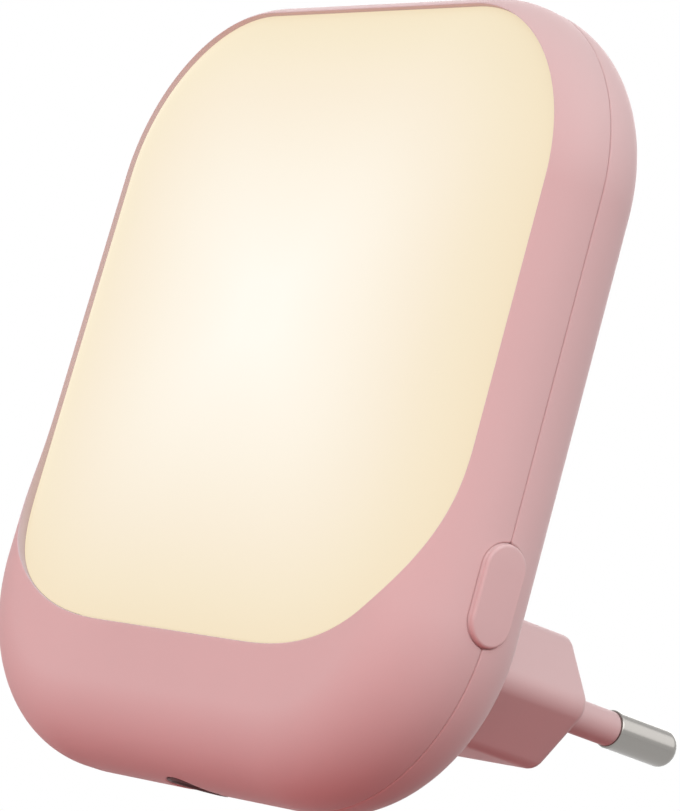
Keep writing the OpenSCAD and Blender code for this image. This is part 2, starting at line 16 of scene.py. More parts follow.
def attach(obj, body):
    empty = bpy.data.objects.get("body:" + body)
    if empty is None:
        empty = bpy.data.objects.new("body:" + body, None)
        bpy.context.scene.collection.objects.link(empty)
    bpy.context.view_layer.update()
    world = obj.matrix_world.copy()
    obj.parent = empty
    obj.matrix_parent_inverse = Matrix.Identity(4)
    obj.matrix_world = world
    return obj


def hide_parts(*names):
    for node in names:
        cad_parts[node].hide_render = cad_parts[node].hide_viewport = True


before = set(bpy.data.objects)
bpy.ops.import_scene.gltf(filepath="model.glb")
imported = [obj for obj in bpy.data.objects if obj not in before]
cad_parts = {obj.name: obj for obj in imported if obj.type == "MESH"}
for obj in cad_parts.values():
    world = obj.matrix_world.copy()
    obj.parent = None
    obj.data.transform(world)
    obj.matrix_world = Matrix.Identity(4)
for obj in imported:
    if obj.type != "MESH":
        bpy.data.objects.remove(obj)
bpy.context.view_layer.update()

# ------------------------------------------------------------------ sizes, mm

BODY_W, BODY_H, BODY_D = 71.0, 79.5, 16.0
CORNER_R = 19.2
FRONT_R, REAR_R = 7.7, 7.0
SEAM_T = 8.5         # depth of the seam between the shells
CORE_X, CORE_Z = BODY_W / 2 - CORNER_R, BODY_H / 2 - CORNER_R
WALL = 1.8
TAPER = 0.62         # how much each side has come in at the top corners' centres
TAPER_START = 0.15   # share of the height between the corners' centres over which the taper sets in

RIM, CHIN = 1.8, 13.6
COVER_TOP, COVER_LOW = BODY_H / 2 - RIM, -BODY_H / 2 + CHIN
COVER_LOW_HALF, COVER_LOW_POWER = (22.65, 21.67), 2.53    # the cover's lower corners
COVER_FLAT, COVER_ROUND, COVER_SINK = 11.5, 15.5, 0.1    # inset of the flat face, rounding, depth
COVER_GAP = 0.05
SKIRT_T, SKIRT_DEEP = 1.4, 1.6    # the cover's skirt behind its edge
POCKET_LIP = 0.12    # rounding of the edges between cover and shell
POCKET_DEEP = 2.4    # how far the pocket's wall goes in beside the skirt
SHOULDER = 1.2       # inset at which the front rounding's rows pass to the side's
SHOULDER_BEND = math.acos(1 - SHOULDER / FRONT_R)    # the front rounding's angle there, 0 at the side
INNER_BACK = 1.5     # how far behind that the shell's inner wall starts
REAR_INNER = 13.2    # depth to which the rear shell's inner wall goes

BUTTON_W, BUTTON_L, BUTTON_PROUD, BUTTON_EDGE = 4.8, 9.6, 0.4, 0.3
BUTTON_Z = -BODY_H / 2 + 22.4
BUTTON_CROWN, BUTTON_FOOT = 0.06, 3.0
BUTTON_STEP = (0.18, 0.22)    # depths below the wall between which the foot widens into the slot
SLOT_GAP = 0.1
FOOT_GAP = 0.02
PORT_D, PORT_DEPTH = 6.6, 2.7
WINDOW_T, WINDOW_EDGE = 1.2, 0.8    # the window's plate, and how far it reaches past the port
COLLAR_T, COLLAR_LIP, COLLAR_GAP, COLLAR_DEPTH = 0.35, 0.08, 0.03, 0.12

PLUG_W, PLUG_FLAT, PLUG_H, PLUG_EDGE, PLUG_END_EDGE = 36.0, 25.3, 13.7, 2.2, 1.0
PLUG_Z = -BODY_H / 2 + 18.0
PLUG_END = BODY_D + 22.7
PLUG_ROOT = 0.5
PIN_PITCH, PIN_TIP_PITCH, PIN_L, PIN_D, PIN_TIP, PIN_STEP = 18.6, 17.5, 19.5, 4.0, 1.3, 0.16
SLEEVE_D, SLEEVE_L, SLEEVE_BACK, SLEEVE_EDGE = 3.6, 10.7, 2.0, 0.1
RELIEF_W, RELIEF_L = 0.4, 0.6    # ring round each sleeve in the plug's end face
RELIEF_TUCK = 0.2    # how far the ring's far end goes into the sleeve

SEAM_HALF = 0.005    # half of the gap between the shells
LIP = 0.2            # rounding of the shells' edges at the seam and the slot
FLARE = 0.35         # rounding of the corners where the seam meets an opening
FAN, FAN_WIDE = 3.0, 3.2    # stretch beside an opening that its curve covers, and over which columns spread
COLUMN_STEP = 0.4    # spacing of the columns along the seam
# the rows that face the cover take the rose with a painted cooler tint against the cover's cream light
COOL_TINT_ROWS = 5         # rows of the front shell that face the cover
COVER_COLUMNS = 640  # columns of the cover
BUTTON_COLUMNS = 73  # columns of each of the button's round ends
TURN_COLUMNS = 96    # columns of a turned piece
HOLE_COLUMNS = 64    # columns of a hole in the plug's end face
OUTLINE_POINTS = 6000    # points of the plug's outline that its radius is interpolated from

# The camera's place (body frame, mm), its directions to the right, up and back, and its focal length in
# pixels of an image that is IMAGE_PX wide
CAMERA_AT = (313.657, -225.383, -60.652)
CAMERA_AXES = [
    (0.614697, 0.742045, 0.267426), (-0.046342, -0.304482, 0.95139), (0.787401, -0.59721, -0.152776),
]
CAMERA_FOCUS_PX, IMAGE_PX, SENSOR_MM = 4071.6, 680, 36.0
CAMERA_NEAR, CAMERA_FAR = 0.01, 20.0    # metres

# The studio, in metres
FLOOR_HALF, FLOOR_Z = 3, -0.2
FLOOR_WHITE = 0.9    # share of plain white in what the eye sees of the floor; the rest takes the shadow
# the floor's bounce is painted rose light, darkened by painted shade along Y behind the lamp
BOUNCE_FROM, BOUNCE_TO = -0.42, 0.2    # where the floor's bounce starts and stops to deepen, along Y
DOME = 0.2           # strength of the surroundings as a light
AIM = (0, -0.02, 0.02)    # the point that the soft boxes face

# ------------------------------------------------------------------ mesh tools


def to_row(p):
    """Body-frame millimetres (x, t, z) to the row's frame in metres, whose origin is the middle of the
    plug's end face."""
    return (np.asarray(p, float) + (0, -PLUG_END, -PLUG_Z)) * 0.001


def grid_faces(rows, cols, close_rows=False, flip=False):
    """Quads of a grid whose columns close round; close_rows joins the last row to the first, and flip
    turns the quads over."""
    n = rows if close_rows else rows - 1
    i, k = np.meshgrid(np.arange(n), np.arange(cols), indexing="ij")
    a = i * cols + k
    b = i * cols + (k + 1) % cols
    c = (i + 1) % rows * cols + (k + 1) % cols
    d = (i + 1) % rows * cols + k
    q = np.stack([a, b, c, d], -1).reshape(-1, 4)
    return q[:, ::-1] if flip else q


def add_piece(name, verts, faces, body, replaces, attributes=None):
    """Makes a smooth mesh object from body-frame vertices and faces, and puts it on a CAD body."""
    mesh = bpy.data.meshes.new(name)
    mesh.from_pydata(to_row(verts).tolist(), [], [tuple(f) for f in faces])
    for key, values in (attributes or {}).items():
        mesh.attributes.new(key, "FLOAT", "POINT").data.foreach_set("value", np.asarray(values, np.float32))
    bm = bmesh.new()
    bm.from_mesh(mesh)
    bmesh.ops.remove_doubles(bm, verts=bm.verts, dist=1e-7)
    bm.to_mesh(mesh)
    bm.free()
    mesh.polygons.foreach_set("use_smooth", np.ones(len(mesh.polygons), bool))
    mesh.update()
    piece = bpy.data.objects.new(name, mesh)
    bpy.context.scene.collection.objects.link(piece)
    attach(piece, body)
    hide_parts(*replaces)
    return piece


# ------------------------------------------------------------------ outlines


PERIMETER = 4 * CORE_X + 4 * CORE_Z + 2 * math.pi * CORNER_R


def body_station(q):
    """Base point and outward normal of the body's outline at arc length q, counted from the middle of
    the right side, upwards. A point of the outline is base + normal * radius."""
    q = np.mod(np.asarray(q, float), PERIMETER)
    quarter = math.pi / 2 * CORNER_R
    ends = np.cumsum([CORE_Z, quarter, 2 * CORE_X, quarter, 2 * CORE_Z, quarter, 2 * CORE_X, quarter, CORE_Z])
    starts = np.concatenate([[0], ends[:-1]])
    x, z, a = (np.empty_like(q) for _ in range(3))
    runs = [
        (0, CORE_X, 0, 0, 1, 0), (1, CORE_X, CORE_Z, 0, 0, 0), (2, CORE_X, CORE_Z, -1, 0, 90),
        (3, -CORE_X, CORE_Z, 0, 0, 90), (4, -CORE_X, CORE_Z, 0, -1, 180), (5, -CORE_X, -CORE_Z, 0, 0, 180),
        (6, -CORE_X, -CORE_Z, 1, 0, 270), (7, CORE_X, -CORE_Z, 0, 0, 270), (8, CORE_X, -CORE_Z, 0, 1, 0),
    ]
    for i, x0, z0, dx, dz, angle in runs:
        m = (q >= starts[i]) & (q <= ends[i])
        s = q[m] - starts[i]
        x[m], z[m] = x0 + dx * s, z0 + dz * s
        a[m] = angle + (np.degrees(s / CORNER_R) if dx == 0 == dz else 0)
    a = np.radians(a)
    return np.stack([x, z], -1), np.stack([np.cos(a), np.sin(a)], -1)


def cover_station(q):
    """The cover outline's point and normal that face the body's station q: straights map to straights in
    proportion, and corners by the angle of their normal. The upper corners are circles, the lower ones
    superellipses, (x / a)^n + (z / b)^n = 1."""
    base, normal = body_station(q)
    share = (base[:, 1] + CORE_Z) / (2 * CORE_Z)
    low = (share < 0.5)[:, None]
    half = np.where(low, COVER_LOW_HALF, CORNER_R - RIM)
    power = np.where(low, COVER_LOW_POWER, 2.0)
    turn = np.abs(normal * half) ** (1 / (2 - 2 / power))
    turn /= np.linalg.norm(turn, axis=1)[:, None]
    low_z = COVER_LOW + COVER_LOW_HALF[1]
    x = base[:, 0] * (BODY_W / 2 - RIM - half[:, 0]) / CORE_X
    z = low_z + (CORE_Z - low_z) * share
    return np.stack([x, z], -1) + np.sign(normal) * half * turn ** (2 / power), normal


def body_inset(x, z):
    """Distance of a point inside the body's outline: from the corner's circle in a corner, otherwise
    from the nearer side."""
    dx, dz = np.abs(x) - CORE_X, np.abs(z) - CORE_Z
    out = np.where((dx > 0) & (dz > 0), np.hypot(np.maximum(dx, 0), np.maximum(dz, 0)), np.maximum(dx, dz))
    return CORNER_R - out


def front_depth(x, z):
    """Depth of the front surface: a quarter circle of the front rounding over the inset, flat inside it."""
    e = np.clip(body_inset(x, z), 0, FRONT_R)
    return FRONT_R - np.sqrt(FRONT_R**2 - (FRONT_R - e) ** 2)


def cover_depth(x, z):
    """Depth of the cover's face: a flatter rounding than the shell's, so it lies below the rim at the sides
    and the top and comes level with the chin; flat further in."""
    e = np.minimum(body_inset(x, z), COVER_FLAT)
    return COVER_SINK + COVER_ROUND - np.sqrt(COVER_ROUND**2 - (COVER_FLAT - e) ** 2)


def tapered(p):
    """Draws points in towards the middle plane, in proportion to their height above the lower corners'
    centres, with a soft start. Nothing changes behind the flat back."""
    share = (p[:, 2] + CORE_Z) / (2 * CORE_Z)
    eased = np.where(share > -TAPER_START, (share + TAPER_START) ** 2 / (4 * TAPER_START), 0)
    soft = np.where(share > TAPER_START, share, eased)
    on_body = p[:, 1] <= BODY_D + 0.001
    x = p[:, 0] * (1 - TAPER / (BODY_W / 2) * soft * on_body)
    return np.stack([x, p[:, 1], p[:, 2]], -1)


def edge_inset(t):
    """Inset of the body's side at depth t: quarter circles at the front and the rear, none between."""
    front = FRONT_R - np.sqrt(np.maximum(FRONT_R**2 - np.maximum(FRONT_R - t, 0) ** 2, 0))
    back = np.maximum(t - (BODY_D - REAR_R), 0)
    return front + REAR_R - np.sqrt(np.maximum(REAR_R**2 - back**2, 0))


def body_point(q, t, inset=0.0):
    """Point of the body's side at arc length q and depth t, moved inwards by inset."""
    base, normal = body_station(q)
    p = base + normal * (CORNER_R - edge_inset(t) - inset)[:, None]
    return np.stack([p[:, 0], t, p[:, 1]], -1)


# ------------------------------------------------------------------ the shells' edge at the seam


def opening_curve(half, r, d):
    """One side of a pill-shaped opening that a seam runs into, offset by d into the material: the seam's
    line, a flare round the corner, the pill's arc, its straight and the mirror image, as (along, off)."""
    rise = SEAM_HALF + FLARE
    centre = half + math.sqrt((r + FLARE) ** 2 - rise**2)
    meet = math.atan2(rise, centre - half)
    line = np.linspace(centre + FAN, centre, 16)[:-1]
    a = np.linspace(-math.pi / 2, meet - math.pi, 9)
    b = np.linspace(meet, math.pi / 2, 22)[1:]
    flare = np.stack([centre + (FLARE - d) * np.cos(a), rise + (FLARE - d) * np.sin(a)], -1)
    arc = np.stack([half + (r + d) * np.cos(b), (r + d) * np.sin(b)], -1)
    right = np.concatenate([np.stack([line, np.full_like(line, SEAM_HALF + d)], -1), flare, arc])
    straight = np.linspace(half, -half, 28)[1:-1] if half > 0 else np.empty(0)
    top = np.stack([straight, np.full_like(straight, r + d)], -1)
    left = right[::-1] * (-1, 1)
    return np.concatenate([right, top, left if half > 0 else left[1:]])[::-1]


OPENINGS = [  # arc length of the middle, half length of the pill's middle line, radius
    (-(CORE_Z + math.pi / 2 * CORNER_R + CORE_X), 0.0, PORT_D / 2 - LIP),
    (BUTTON_Z, (BUTTON_L - BUTTON_W) / 2, BUTTON_W / 2 + SLOT_GAP),
]


def edge_curve(d, sign):
    """The shell's whole edge, offset by d into the material, as arc length q and depth t. sign is -1 for
    the front shell and 1 for the rear one. Between the openings it is the seam's straight line."""
    curves = [opening_curve(half, r, d) + (q0, 0) for q0, half, r in OPENINGS]
    parts = []
    for i, curve in enumerate(curves):
        ahead = curves[1][0, 0] if i == 0 else curves[0][0, 0] + PERIMETER
        fill = np.linspace(curve[-1, 0], ahead, int((ahead - curve[-1, 0]) / COLUMN_STEP) + 1)[1:-1]
        parts += [curve, np.stack([fill, np.full_like(fill, SEAM_HALF + d)], -1)]
    q, off = np.concatenate(parts).T
    return q, SEAM_T + sign * off


def base_stations(sign):
    """Arc length of each column away from the openings: the edge curve's own length, spread evenly over
    each opening's stretch, so the columns fan out round it."""
    q, t = edge_curve(LIP, sign)
    out = q.copy()
    length = np.concatenate([[0], np.cumsum(np.hypot(np.diff(q), np.diff(t)))])
    for q0, half, r in OPENINGS:
        i, j = np.flatnonzero(np.abs(q - q0) < half + r + FAN_WIDE)[[0, -1]]
        share = (length[i:j + 1] - length[i]) / (length[j] - length[i])
        out[i:j + 1] = q[i] + (q[j] - q[i]) * share
    return out


def edge_rows(sign):
    """Rows over the shell's rounded edge and down its inner face, from the lip's start inwards."""
    rows = []
    for a in np.linspace(0, 90, 7)[1:]:
        d = LIP * (1 - math.sin(math.radians(a)))
        q, t = edge_curve(d, sign)
        rows.append(body_point(q, t, LIP * (1 - math.cos(math.radians(a)))))
    q, t = edge_curve(0, sign)
    rows.append(body_point(q, t, WALL))
    return rows


def spread_rows(q0, t0, q1, t1, n):
    """n rows of the side surface between two curves, evenly spaced, without the first one."""
    return [body_point(q0 + (q1 - q0) * w, t0 + (t1 - t0) * w) for w in np.linspace(0, 1, n + 1)[1:]]


def on_front(xz, drop=0.0):
    """Points (x, z) on the front surface, or drop behind it."""
    return np.stack([xz[:, 0], front_depth(xz[:, 0], xz[:, 1]) + drop, xz[:, 1]], -1)


def rim_rows(pocket, normal, shoulder):
    """Rows up the pocket's wall, over its quarter-circle lip, and over the rim and chin to the shoulder,
    at even distances along the flat and the front rounding."""
    rows = [on_front(pocket, POCKET_DEEP)]
    for a in np.linspace(0, 90, 6):
        d = POCKET_LIP * (1 - math.cos(math.radians(a)))
        rows.append(on_front(pocket + normal * d, POCKET_LIP * (1 - math.sin(math.radians(a)))))
    start = pocket + normal * POCKET_LIP
    e0 = body_inset(start[:, 0], start[:, 1])
    flat = np.maximum(e0 - FRONT_R, 0)
    bend0 = np.arccos(1 - np.minimum(e0, FRONT_R) / FRONT_R)
    total = flat + FRONT_R * (bend0 - SHOULDER_BEND)
    for w in np.linspace(0, 1, 41)[1:]:
        run = total * w
        bend = bend0 - np.maximum(run - flat, 0) / FRONT_R
        e = np.where(run < flat, e0 - run, FRONT_R * (1 - np.cos(bend)))
        rows.append(on_front(start + (shoulder - start) * ((e0 - e) / (e0 - SHOULDER))[:, None]))
    return rows


def make_front_shell():
    """Closed ring round the body: the rows of the face from the pocket outwards, the side from the
    shoulder to the seam, the seam's lip, the inner wall, and back to the pocket."""
    q_base = base_stations(-1)
    q_edge, t_edge = edge_curve(LIP, -1)
    base, outward = body_station(q_base)
    rows = rim_rows(*cover_station(q_base), base + outward * (CORNER_R - SHOULDER))
    t_base = np.full_like(q_base, FRONT_R * (1 - math.sin(SHOULDER_BEND)))
    rows += spread_rows(q_base, t_base, q_edge, t_edge, 16)
    rows += edge_rows(-1)
    rows.append(body_point(q_base, t_base + INNER_BACK, WALL))
    verts = tapered(np.concatenate(rows))
    faces = grid_faces(len(rows), len(q_base), close_rows=True, flip=True)
    shell = add_piece("front_housing", verts, faces, "lamp", ["front_shell"])
    shell.data.materials.append(finishes["rose"])
    shell.data.materials.append(finishes["rim"])
    # the pocket's wall and the inner half of its lip take the rose with a painted cooler tint, which cancels
    # the cover's cream light on them
    for face in shell.data.polygons:    # the pocket's wall and the inner half of its lip
        face.material_index = int(max(face.vertices) < COOL_TINT_ROWS * len(q_base))


# ------------------------------------------------------------------ plug outline


def plug_loop(grow):
    """Points of the plug body's six-sided outline with rounded corners, grown by an offset, about the
    plug's own centre: each corner is an arc about the same centre, so only its radius changes."""
    corners = np.array([
        (PLUG_W / 2, 0), (PLUG_FLAT / 2, PLUG_H / 2), (-PLUG_FLAT / 2, PLUG_H / 2),
        (-PLUG_W / 2, 0), (-PLUG_FLAT / 2, -PLUG_H / 2), (PLUG_FLAT / 2, -PLUG_H / 2),
    ])
    back = np.roll(corners, 1, 0) - corners
    ahead = np.roll(corners, -1, 0) - corners
    back /= np.linalg.norm(back, axis=1)[:, None]
    ahead /= np.linalg.norm(ahead, axis=1)[:, None]
    half = np.arccos((back * ahead).sum(1)) / 2
    bisector = (back + ahead) / np.linalg.norm(back + ahead, axis=1)[:, None]
    centres = corners + bisector * (PLUG_EDGE / np.sin(half))[:, None]
    middle = np.arctan2(-bisector[:, 1], -bisector[:, 0])
    spread = math.pi / 2 - half
    a = middle[:, None] + spread[:, None] * np.linspace(-1, 1, 41)
    arcs = centres[:, None] + (PLUG_EDGE + grow) * np.stack([np.cos(a), np.sin(a)], -1)
    loop = arcs.reshape(-1, 2)
    loop = np.vstack([loop, loop[:1]])
    s = np.concatenate([[0], np.cumsum(np.linalg.norm(np.diff(loop, axis=0), axis=1))])
    at = np.linspace(0, s[-1], OUTLINE_POINTS)
    return np.stack([np.interp(at, s, loop[:, 0]), np.interp(at, s, loop[:, 1])], -1)


def plug_points(angle, grow):
    """The plug outline's points in the directions given by angle, found by interpolating its radius."""
    loop = plug_loop(grow)
    a = np.unwrap(np.arctan2(loop[:, 1], loop[:, 0]))
    r = np.hypot(loop[:, 0], loop[:, 1])
    a, r = a[:-1], r[:-1]
    a = np.concatenate([a - 2 * math.pi, a, a + 2 * math.pi])
    r = np.tile(r, 3)
    radius = np.interp(np.mod(angle + math.pi, 2 * math.pi) - math.pi, a, r)
    return np.stack([radius * np.cos(angle), radius * np.sin(angle) + PLUG_Z], -1)


def circle_points(x, z, r, n):
    """n points of a circle about (x, z), turning from x towards z."""
    a = np.linspace(0, 2 * math.pi, n, endpoint=False)
    return np.stack([x + r * np.cos(a), z + r * np.sin(a)], -1)


def plug_end_face(rim, first):
    """The flat end of the plug body: triangles between its rim, whose vertices begin at index first, and
    two round holes. Each hole goes in as a ring round the sleeve, across to the sleeve and on inside it.
    Returns the vertices that follow the rim's, and the faces."""
    n = HOLE_COLUMNS
    hole_r = SLEEVE_D / 2 + RELIEF_W
    loops = [rim] + [circle_points(s * PIN_PITCH / 2, PLUG_Z, hole_r, n)[::-1] for s in (-1, 1)]
    flat = np.concatenate(loops)
    faces = []
    for tri in tessellate_polygon([[Vector((x, z, 0)) for x, z in loop] for loop in loops]):
        p = flat[list(tri)]
        turned = np.cross(p[1] - p[0], p[2] - p[0]) > 0
        f = [first + i for i in tri]
        faces.append(f[::-1] if turned else f)
    holes = flat[len(rim):]
    verts = [np.stack([holes[:, 0], np.full(len(holes), PLUG_END), holes[:, 1]], -1)]
    k = np.arange(n)
    count = first + len(flat)
    for side, s in enumerate((-1, 1)):
        ring = first + len(rim) + side * n
        for r, depth in (
            (hole_r, RELIEF_L), (SLEEVE_D / 2, RELIEF_L), (SLEEVE_D / 2 - RELIEF_TUCK, 2 * RELIEF_L),
        ):
            c = circle_points(s * PIN_PITCH / 2, PLUG_Z, r, n)[::-1]
            verts.append(np.stack([c[:, 0], np.full(n, PLUG_END - depth), c[:, 1]], -1))
            faces += np.stack([ring + k, ring + (k + 1) % n, count + (k + 1) % n, count + k], -1).tolist()
            ring = count
            count += n
    return verts, faces


def make_rear_shell():
    """Rows from the inner wall at the seam over the seam's lip, the side, the quarter-circle rear rounding
    and the flat back, round the fillet at the plug's root and along the plug body to its rounded end,
    which the end face with its two holes closes."""
    q_base = base_stations(1)
    q_edge, t_edge = edge_curve(LIP, 1)
    rows = [body_point(q_base, np.full_like(q_base, REAR_INNER), WALL)]
    rows += edge_rows(1)[::-1]
    rows.append(body_point(q_edge, t_edge))
    rows += spread_rows(q_edge, t_edge, q_base, np.full_like(q_base, REAR_INNER), 18)
    turn = math.asin((REAR_INNER - (BODY_D - REAR_R)) / REAR_R)
    base, normal = body_station(q_base)
    for a in np.linspace(turn, math.pi / 2, 15)[1:]:
        p = base + normal * (CORNER_R - REAR_R * (1 - math.cos(a)))
        t = np.full_like(q_base, BODY_D - REAR_R + REAR_R * math.sin(a))
        rows.append(np.stack([p[:, 0], t, p[:, 1]], -1))
    edge = rows[-1][:, [0, 2]]
    angle = np.arctan2(edge[:, 1] - PLUG_Z, edge[:, 0])
    root = plug_points(angle, PLUG_ROOT)

    def flat_row(xz, t):
        rows.append(np.stack([xz[:, 0], np.full(len(xz), t), xz[:, 1]], -1))

    for w in np.linspace(0, 1, 9)[1:]:
        flat_row(edge + (root - edge) * w, BODY_D)
    for a in np.radians(np.linspace(0, 90, 7)[1:]):
        flat_row(plug_points(angle, PLUG_ROOT * (1 - math.sin(a))), BODY_D + PLUG_ROOT * (1 - math.cos(a)))
    for t in np.linspace(BODY_D + PLUG_ROOT, PLUG_END - PLUG_END_EDGE, 6)[1:]:
        flat_row(plug_points(angle, 0), t)
    for a in np.radians(np.linspace(0, 90, 9)[1:]):
        inset, drop = PLUG_END_EDGE * (1 - math.cos(a)), PLUG_END_EDGE * (1 - math.sin(a))
        flat_row(plug_points(angle, -inset), PLUG_END - drop)
    verts = tapered(np.concatenate(rows))
    faces = grid_faces(len(rows), len(q_base), flip=True).tolist()
    end_verts, end_faces = plug_end_face(rows[-1][:, [0, 2]], len(verts) - len(q_base))
    verts = np.concatenate([verts] + end_verts)
    return add_piece("rear_housing", verts, faces + end_faces, "lamp", ["rear_shell"])


def make_cover():
    """The cover: rows shrink from its outline to its middle over the front surface, its edge rounded,
    with the skirt's outside and inside behind it. The attribute holds the distance from the edge."""
    q = np.linspace(0, PERIMETER, COVER_COLUMNS, endpoint=False)
    outline, normal = cover_station(q)
    outline = outline - normal * COVER_GAP
    middle = np.array([0.0, (COVER_TOP + COVER_LOW) / 2])
    rows, reach = [], []

    def front_row(xz, drop, distance):
        rows.append(np.stack([xz[:, 0], cover_depth(xz[:, 0], xz[:, 1]) + drop, xz[:, 1]], -1))
        reach.append(np.full(len(q), distance))

    front_row(outline - normal * SKIRT_T, SKIRT_DEEP, 0.0)
    front_row(outline, SKIRT_DEEP, 0.0)
    for a in np.radians(np.linspace(0, 90, 6)):
        d = POCKET_LIP * (1 - math.cos(a))
        front_row(outline - normal * d, POCKET_LIP * (1 - math.sin(a)), d)
    start = outline - normal * POCKET_LIP
    to_middle = np.linalg.norm(start - middle, axis=1)
    dense, last_ring = 0.28, 0.985    # shares of the way to the middle: closer rows up to the first one
    for w in np.concatenate([np.linspace(0, dense, 36)[1:], np.linspace(dense, last_ring, 26)[1:]]):
        front_row(start + (middle - start) * w, 0.0, POCKET_LIP + w * to_middle.min())
    verts = tapered(np.concatenate(rows + [np.array([[0.0, COVER_SINK, middle[1]]])]))
    k = np.arange(COVER_COLUMNS)
    last = (len(rows) - 1) * COVER_COLUMNS
    fan = [last + k, last + (k + 1) % COVER_COLUMNS, np.full_like(k, len(verts) - 1)]
    faces = grid_faces(len(rows), COVER_COLUMNS).tolist() + np.stack(fan, -1).tolist()
    edge = np.concatenate(reach + [[to_middle.min()]])
    return add_piece("light_cover", verts, faces, "lamp", ["diffuser"], {"edge_mm": edge})


def make_button():
    """Pill on the side wall: rings shrink from its outline to its middle line. The rim is a quarter
    circle and the top has a low crown; the foot goes into the slot."""
    half, r = (BUTTON_L - BUTTON_W) / 2, BUTTON_W / 2
    upper = np.linspace(0, math.pi, BUTTON_COLUMNS)
    lower = np.linspace(math.pi, 2 * math.pi, BUTTON_COLUMNS)
    a = np.concatenate([upper, lower])
    centre_z = np.repeat([half, -half], BUTTON_COLUMNS)
    top = BODY_W / 2 + BUTTON_PROUD
    rows = []

    def ring(radius, x):
        rows.append(np.stack([
            np.full_like(a, x), SEAM_T + radius * np.cos(a), BUTTON_Z + centre_z + radius * np.sin(a)
        ], -1))

    ring(r + SLOT_GAP - FOOT_GAP, top - BUTTON_FOOT)
    ring(r + SLOT_GAP - FOOT_GAP, top - BUTTON_PROUD - BUTTON_STEP[1])
    ring(r, top - BUTTON_PROUD - BUTTON_STEP[0])
    for b in np.radians(np.linspace(0, 90, 12)):
        ring(r - BUTTON_EDGE * (1 - math.cos(b)), top - BUTTON_EDGE * (1 - math.sin(b)) - BUTTON_CROWN)
    for radius in np.linspace(r - BUTTON_EDGE, 0.0, 8)[1:]:
        ring(radius, top - BUTTON_CROWN * (radius / (r - BUTTON_EDGE)) ** 2)
    verts = np.concatenate(rows)
    faces = grid_faces(len(rows), len(a))
    return add_piece("push_button", verts, faces, "button", ["side_button"])


def turned_piece(name, profile, side, replaces):
    """Surface of revolution about a pin's leaning axis. The profile holds radii and distances beyond the
    plug's end face."""
    lean = math.atan((PIN_PITCH - PIN_TIP_PITCH) / 2 / PIN_L)
    r, s = np.array(profile, float).T
    a = np.linspace(0, 2 * math.pi, TURN_COLUMNS, endpoint=False)
    across = r[:, None] * np.cos(a)
    x = side * (PIN_PITCH / 2 + across * math.cos(lean) - s[:, None] * math.sin(lean))
    t = PLUG_END + s[:, None] * math.cos(lean) + across * math.sin(lean)
    z = PLUG_Z + r[:, None] * np.sin(a)
    verts = np.stack([x, t, z + 0 * x], -1).reshape(-1, 3)
    faces = grid_faces(len(profile), TURN_COLUMNS, flip=side > 0)
    return add_piece(name, verts, faces, "lamp", replaces)


def quarter_turn(r, s, size, count):
    """Points of a turned piece's rounded edge, from its outside at r to its end at s: a quarter circle."""
    turns = np.radians(np.linspace(0, 90, count))
    return [(r - size * (1 - math.cos(b)), s - size * (1 - math.sin(b))) for b in turns]


def make_window():
    """Dark window of the light sensor, turned about the port's axis: its plate, and a thin collar with a
    rounded rim that lines the port."""
    plate, collar = PORT_D / 2 + WINDOW_EDGE, PORT_D / 2 - LIP - COLLAR_GAP
    inner, foot, back = collar - COLLAR_T, PORT_DEPTH, PORT_DEPTH + WINDOW_T
    rim = [(r, -s) for r, s in quarter_turn(collar, -COLLAR_DEPTH, COLLAR_LIP, 4)]
    profile = [(0, back), (plate, back), (plate, foot), (collar, foot)] + rim
    profile += [(inner, COLLAR_DEPTH + COLLAR_LIP), (inner, foot), (0, foot)]
    r, depth = (v[:, None] for v in np.array(profile).T)
    a = np.linspace(0, 2 * math.pi, TURN_COLUMNS, endpoint=False)
    z = depth - BODY_H / 2 + 0 * a
    verts = np.stack([r * np.cos(a), SEAM_T + r * np.sin(a), z], -1).reshape(-1, 3)
    faces = grid_faces(len(profile), TURN_COLUMNS, flip=True)
    return add_piece("sensor_port_window", verts, faces, "lamp", ["sensor_window"])


def pin_profile():
    """Bare contact length: a small rounded step over the sleeve, a straight and a rounded tip."""
    r = PIN_D / 2
    turns = np.radians([0, 45, 90])
    step = [(r - PIN_STEP * (1 - math.sin(b)), SLEEVE_L + PIN_STEP * (1 - math.cos(b))) for b in turns]
    body = [(r, s) for s in np.linspace(SLEEVE_L + 0.3, PIN_L - PIN_TIP - 0.3, 6)]
    return [(0, SLEEVE_L)] + step + body + quarter_turn(r, PIN_L, PIN_TIP, 14) + [(0, PIN_L)]


def sleeve_profile():
    """Sleeve from behind the end face to its rounded end at the bare contact."""
    r = SLEEVE_D / 2
    straight = [(r, s) for s in (-SLEEVE_BACK, 0.0, 3.0, 6.0, SLEEVE_L - 0.4)]
    return [(0, -SLEEVE_BACK)] + straight + quarter_turn(r, SLEEVE_L, SLEEVE_EDGE, 4) + [(0, SLEEVE_L)]


# ------------------------------------------------------------------ materials


def colour(hex_code):
    """sRGB hex to linear RGBA."""
    c = np.array([int(hex_code[i:i + 2], 16) for i in (1, 3, 5)]) / 255
    lin = np.where(c <= 0.04045, c / 12.92, ((c + 0.055) / 1.055) ** 2.4)
    return (*lin.tolist(), 1.0)


def node(tree, kind, settings=None, links=None):
    """Adds a node, sets its sockets by name or number and its properties by name, and links its inputs."""
    made = tree.nodes.new(kind)
    for key, value in (settings or {}).items():
        if isinstance(key, int) or key in made.inputs:
            made.inputs[key].default_value = value
        else:
            setattr(made, key, value)
    for key, source in (links or {}).items():
        tree.links.new(source, made.inputs[key])
    return made


